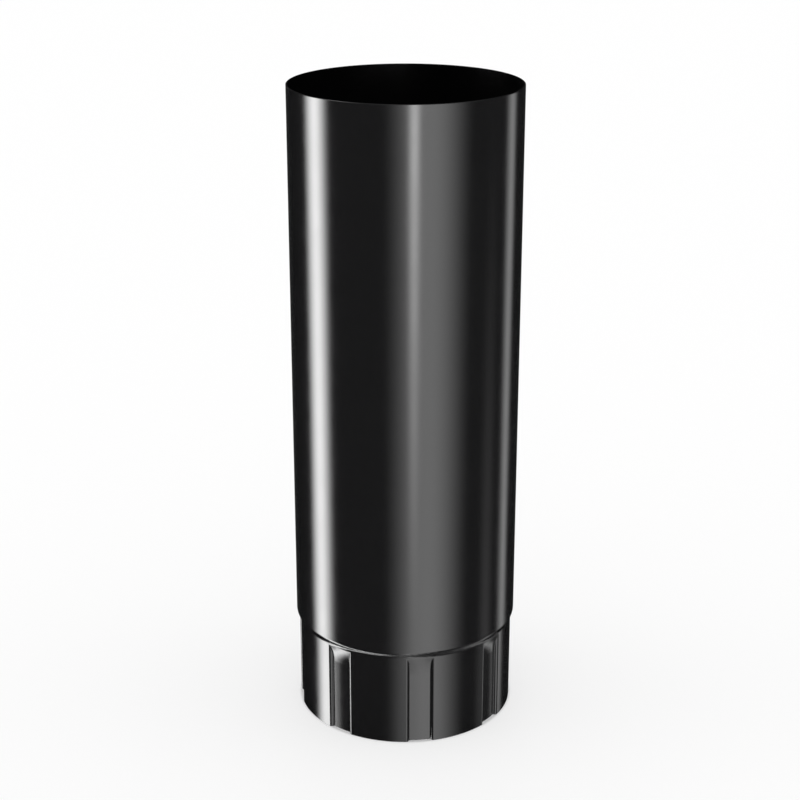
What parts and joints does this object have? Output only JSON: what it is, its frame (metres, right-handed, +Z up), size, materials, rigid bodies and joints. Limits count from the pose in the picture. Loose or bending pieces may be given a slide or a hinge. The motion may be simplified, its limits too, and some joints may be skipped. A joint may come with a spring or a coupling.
{
  "type": "steel downpipe",
  "caption": "Short length of round painted steel downpipe, cut square at the top, with a reduced lower end crimped by pressed channels that pushes into the next pipe.",
  "frame": {"origin": "on the pipe's axis, at the foot plane of the reduced end", "axes": "+Z up along the pipe's axis towards the plain socket end; the side seen in the picture faces -Y, and +X is to its right"},
  "size_m": [0.087, 0.087, 0.2482],
  "materials": {
    "paint": "semi-gloss black coating on steel sheet, inside and out"
  },
  "bodies": {
    "root": {"downpipe": "paint"}
  },
  "joints": []
}
